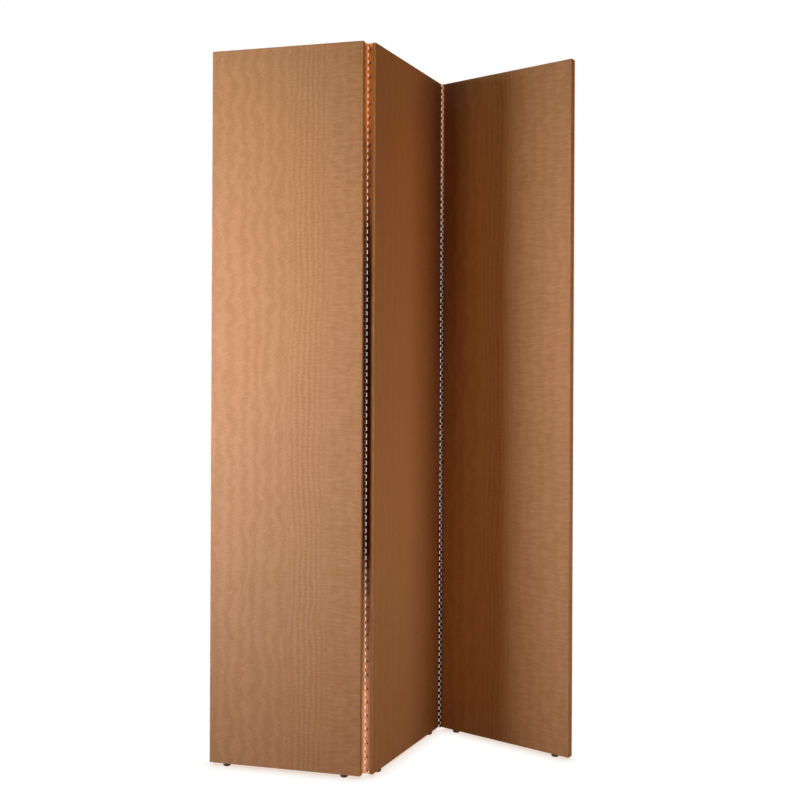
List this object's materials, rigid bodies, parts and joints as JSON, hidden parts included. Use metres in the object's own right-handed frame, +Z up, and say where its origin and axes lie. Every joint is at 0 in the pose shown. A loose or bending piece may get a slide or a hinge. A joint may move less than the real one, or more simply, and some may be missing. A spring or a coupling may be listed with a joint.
{
  "type": "folding room divider",
  "caption": "Free-standing folding screen of fabric-covered panels that fold both ways on full-height continuous hinges, with round glides underneath.",
  "frame": {"origin": "on the floor under the middle of the standing screen's outline", "axes": "+Z up, +Y away from the side seen first (the fronts face -Y), +X to the right"},
  "size_m": [1.1068, 0.4626, 2.158],
  "materials": {
    "moire_fabric": "bronze-brown watered silk, satin sheen",
    "frame_timber": "planed pine, unfinished",
    "dowel_timber": "beech dowel",
    "thin_board": "thin hardboard",
    "hinge_brass": "bronze-tinted, satin",
    "pin_steel": "drawn wire",
    "screw_bronze": "dark bronzed",
    "glide_plastic": "black, moulded",
    "nail_steel": "bright"
  },
  "bodies": {
    "left_panel": {"left_panel_left_stile": "frame_timber", "left_panel_right_stile": "frame_timber", "left_panel_top_rail": "frame_timber", "left_panel_bottom_rail": "frame_timber", "left_panel_cross_rails": "frame_timber", "left_panel_dowels": "dowel_timber", "left_panel_front_board": "thin_board", "left_panel_back_board": "thin_board", "left_panel_front_cover": "moire_fabric", "left_panel_back_cover": "moire_fabric", "left_panel_glides": "glide_plastic", "left_panel_glide_nails": "nail_steel", "left_hinge_left_leaf": "hinge_brass", "left_hinge_left_screws": "screw_bronze"},
    "middle_panel": {"middle_panel_left_stile": "frame_timber", "middle_panel_right_stile": "frame_timber", "middle_panel_top_rail": "frame_timber", "middle_panel_bottom_rail": "frame_timber", "middle_panel_cross_rails": "frame_timber", "middle_panel_dowels": "dowel_timber", "middle_panel_front_board": "thin_board", "middle_panel_back_board": "thin_board", "middle_panel_front_cover": "moire_fabric", "middle_panel_back_cover": "moire_fabric", "middle_panel_glides": "glide_plastic", "middle_panel_glide_nails": "nail_steel", "left_hinge_right_leaf": "hinge_brass", "left_hinge_right_screws": "screw_bronze", "right_hinge_left_leaf": "hinge_brass", "right_hinge_left_screws": "screw_bronze", "left_hinge_pin": "pin_steel", "right_hinge_pin": "pin_steel"},
    "right_panel": {"right_panel_left_stile": "frame_timber", "right_panel_right_stile": "frame_timber", "right_panel_top_rail": "frame_timber", "right_panel_bottom_rail": "frame_timber", "right_panel_cross_rails": "frame_timber", "right_panel_dowels": "dowel_timber", "right_panel_front_board": "thin_board", "right_panel_back_board": "thin_board", "right_panel_front_cover": "moire_fabric", "right_panel_back_cover": "moire_fabric", "right_panel_glides": "glide_plastic", "right_panel_glide_nails": "nail_steel", "right_hinge_right_leaf": "hinge_brass", "right_hinge_right_screws": "screw_bronze"}
  },
  "joints": [
    {"name": "left_fold", "type": "hinge", "parent": "middle_panel", "child": "left_panel", "pos_m": [-0.08337, -0.20575, 1.083], "axis": [0, 0, 1], "range_deg": [-102.3, 77.7]},
    {"name": "right_fold", "type": "hinge", "parent": "middle_panel", "child": "right_panel", "pos_m": [0.15594, 0.21192, 1.083], "axis": [0, 0, 1], "range_deg": [-79.1, 100.9]}
  ]
}
